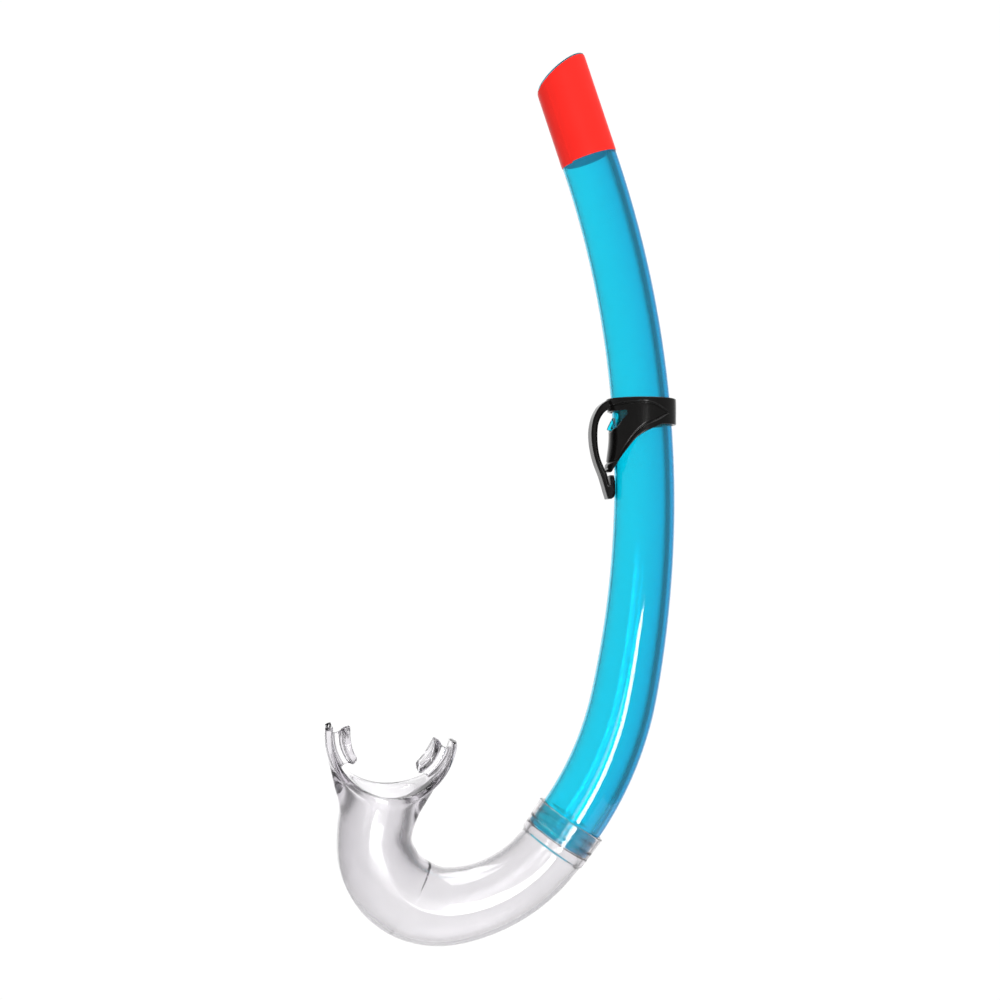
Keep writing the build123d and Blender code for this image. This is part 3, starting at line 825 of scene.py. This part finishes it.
def band_material():
    material, nodes, links, shader = new_material("hi_vis_orange")
    cloud = add_noise(nodes, links, scale=90, detail=3)
    grain = add_noise(nodes, links, scale=2600, detail=2)
    add_tint(nodes, links, shader, cloud, (0.95, 0.019, 0.012), (1.0, 0.024, 0.016))
    links.new(add_range(nodes, links, grain, 0.34, 0.46), shader.inputs["Roughness"])
    shader.inputs["Specular IOR Level"].default_value = 0.25
    add_bump(nodes, links, shader, [(cloud, 0.00006), (grain, 0.000006)])
    return material


def backing_with_painted_glow():
    """Pale adhesive side of the film, seen through the barrel, with a painted glow that stands in for the
    light the thin film lets in.
    """
    material, nodes, links, shader = new_material("band_backing_painted_glow")
    cloud = add_noise(nodes, links, scale=220, detail=4)
    add_tint(nodes, links, shader, cloud, (0.70, 0.71, 0.76), (0.84, 0.85, 0.88))
    shader.inputs["Roughness"].default_value = 0.6
    # Painted glow: a faint emission on the backing stands in for light passing through the thin film.
    shader.inputs["Emission Color"].default_value = (0.75, 0.8, 1.0, 1)
    shader.inputs["Emission Strength"].default_value = 0.22
    add_bump(nodes, links, shader, [(cloud, 0.00004)])
    return material


def black_material():
    material, nodes, links, shader = new_material("black_plastic")
    cloud = add_noise(nodes, links, scale=120, detail=3)
    grain = add_noise(nodes, links, scale=3200, detail=3)
    scuff = add_noise(nodes, links, scale=500, detail=4, stretch=(1, 1, 0.15))
    add_tint(nodes, links, shader, cloud, (0.0025, 0.0023, 0.0023), (0.006, 0.0055, 0.0052))
    links.new(add_range(nodes, links, scuff, 0.15, 0.26), shader.inputs["Roughness"])
    shader.inputs["Specular IOR Level"].default_value = 0.25
    add_bump(nodes, links, shader, [(cloud, 0.00004), (grain, 0.000008)])
    return material


def floor_material():
    material, nodes, links, shader = new_material("floor_pale")
    cloud = add_noise(nodes, links, scale=3, detail=2)
    add_tint(nodes, links, shader, cloud, (0.93, 0.93, 0.93), (0.96, 0.96, 0.96))
    shader.inputs["Roughness"].default_value = 0.9
    shader.inputs["Emission Color"].default_value = (1, 1, 1, 1)
    shader.inputs["Emission Strength"].default_value = 0.1
    return material


# ---------------------------------------------------------------- the pieces

def dress(piece, material, body, slot, *nodes):
    piece.data.materials.append(material)
    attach(piece, body)
    if nodes:
        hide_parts(*nodes)


def mark_dullness(piece, domain, dullness):
    """The roughness that the piece's material adds, per face or per point."""
    piece.data.attributes.new("dullness", "FLOAT", domain).data.foreach_set("value", dullness)


def build_barrel(cyan):
    points, faces, bore_start, bore_end = barrel_mesh()
    tube = make_piece("barrel_tube", points, faces, AT_JOINT)
    dress(tube, cyan, "barrel", "cyan_plastic", "barrel")
    ring_of_face = np.arange(len(faces)) // RING_POINTS
    dullness = np.where(ring_of_face < bore_end, BORE_DULL, CUT_DULL) * (ring_of_face >= bore_start)
    mark_dullness(tube, "FACE", dullness)
    points, faces, place = lug_mesh()
    dress(make_piece("barrel_lock_lug", points, faces, place), cyan, "barrel", "cyan_plastic")


def build_band():
    """Film, orange outside and pale inside: the mesh's second half is its inside."""
    points, faces = band_mesh()
    film = make_piece("band_film", points, faces, AT_JOINT)
    dress(film, band_material(), "barrel", "hi_vis_orange", "hi_vis_band")
    film.data.materials.append(backing_with_painted_glow())
    for face in film.data.polygons:
        face.material_index = int(face.index >= len(faces) // 2)


def build_mouthpiece():
    points, faces = net_mesh(mouthpiece_field, *MOUTHPIECE_BOX, MOUTHPIECE_STEP)
    moulding = make_piece("mouthpiece_moulding", points, faces, MOUTH_PLACE, NO_SHARP_EDGES)
    dress(moulding, clear_material(), "mouthpiece", "clear_soft_plastic", "mouthpiece")
    length, right = along_mouth(points)
    bore = bore_field(length, right, points[:, 1], np.hypot(right, points[:, 1]))
    share = smooth_step((length - SLEEVE_LENGTH) / BEND_DULL_LENGTH) * (bore < BORE_NEAR)
    mark_dullness(moulding, "POINT", BEND_BORE_DULL * share)


def build_keeper():
    black = black_material()
    points, faces = net_mesh(collar_field, *COLLAR_BOX, COLLAR_STEP)
    clip = make_piece("keeper_clip", points, faces, KEEPER_PLACE, NO_SHARP_EDGES)
    dress(clip, black, "keeper", "black_plastic", "keeper_collar")
    points, faces = net_mesh(arm_field, *ARM_BOX, SMALL_STEP)
    arm = make_piece("keeper_spring_arm", points, faces, KEEPER_PLACE, NO_SHARP_EDGES)
    arm.data.materials.append(black)
    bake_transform(arm)
    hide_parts("keeper_arm")


# ---------------------------------------------------------------- camera, light, floor

def add_camera():
    data = bpy.data.cameras.new("camera")
    data.sensor_width = CAMERA_SENSOR
    data.lens = CAMERA_LENS
    data.shift_y = CAMERA_RISE
    data.clip_end = CAMERA_FAR
    camera = bpy.data.objects.new("camera", data)
    bpy.context.scene.collection.objects.link(camera)
    camera.location = JOINT_CENTRE + CAMERA_OFFSET
    camera.rotation_euler = (pi / 2, 0, 0)
    bpy.context.scene.camera = camera


def add_panel(name, place, width, height, radiance):
    """Softbox: a flat lit panel facing the snorkel."""
    data = bpy.data.lights.new(name, "AREA")
    data.shape = "RECTANGLE"
    data.size, data.size_y = width, height
    data.energy = radiance * pi * width * height
    lamp = bpy.data.objects.new(name, data)
    bpy.context.scene.collection.objects.link(lamp)
    lamp.location = place
    lamp.rotation_euler = (LIT_MIDDLE - Vector(place)).to_track_quat("-Z", "Y").to_euler()


def add_lights():
    for name, right, up, width, height, radiance in SOFTBOXES:
        level = cos(radians(up))
        way = Vector((sin(radians(right)) * level, -cos(radians(right)) * level, sin(radians(up))))
        add_panel(name, LIT_MIDDLE + SOFTBOX_DISTANCE * way, width, height, radiance)
    add_panel("top_panel", TOP_PANEL_PLACE, TOP_PANEL_SIZE, TOP_PANEL_SIZE, TOP_PANEL_GLOW)


def add_world():
    """White to the camera. To other rays an even room with a brighter backdrop."""
    world = bpy.data.worlds.new("studio")
    bpy.context.scene.world = world
    world.use_nodes = True
    nodes, links = world.node_tree.nodes, world.node_tree.links
    around = nodes["Background"]
    around.inputs["Color"].default_value = (1, 1, 1, 1)
    seen = nodes.new("ShaderNodeBackground")
    seen.inputs["Color"].default_value = (1, 1, 1, 1)
    seen.inputs["Strength"].default_value = WHITE_SEEN
    coordinates = nodes.new("ShaderNodeTexCoord")
    parts = nodes.new("ShaderNodeSeparateXYZ")
    glow = nodes.new("ShaderNodeMapRange")
    glow.interpolation_type = "SMOOTHSTEP"
    glow.inputs["From Min"].default_value, glow.inputs["From Max"].default_value = BACKDROP_SPAN
    glow.inputs["To Min"].default_value = ROOM_GLOW
    glow.inputs["To Max"].default_value = ROOM_GLOW + BACKDROP_GLOW
    path = nodes.new("ShaderNodeLightPath")
    mix = nodes.new("ShaderNodeMixShader")
    links.new(coordinates.outputs["Generated"], parts.inputs["Vector"])
    links.new(parts.outputs["Y"], glow.inputs["Value"])
    links.new(glow.outputs["Result"], around.inputs["Strength"])
    links.new(path.outputs["Is Camera Ray"], mix.inputs["Fac"])
    links.new(around.outputs["Background"], mix.inputs[1])
    links.new(seen.outputs["Background"], mix.inputs[2])
    links.new(mix.outputs["Shader"], nodes["World Output"].inputs["Surface"])


def add_floor():
    mesh = bpy.data.meshes.new("floor")
    corners = [(x * FLOOR_HALF, y * FLOOR_HALF, 0) for x, y in ((-1, -1), (1, -1), (1, 1), (-1, 1))]
    mesh.from_pydata(corners, [], [(0, 1, 2, 3)])
    floor = bpy.data.objects.new("floor", mesh)
    bpy.context.scene.collection.objects.link(floor)
    floor.location = (0, 0, FLOOR_HEIGHT)
    mesh.materials.append(floor_material())


build_barrel(cyan_material())
build_band()
build_mouthpiece()
build_keeper()
add_camera()
bpy.context.scene.view_settings.view_transform = "Standard"
add_floor()
add_lights()
add_world()
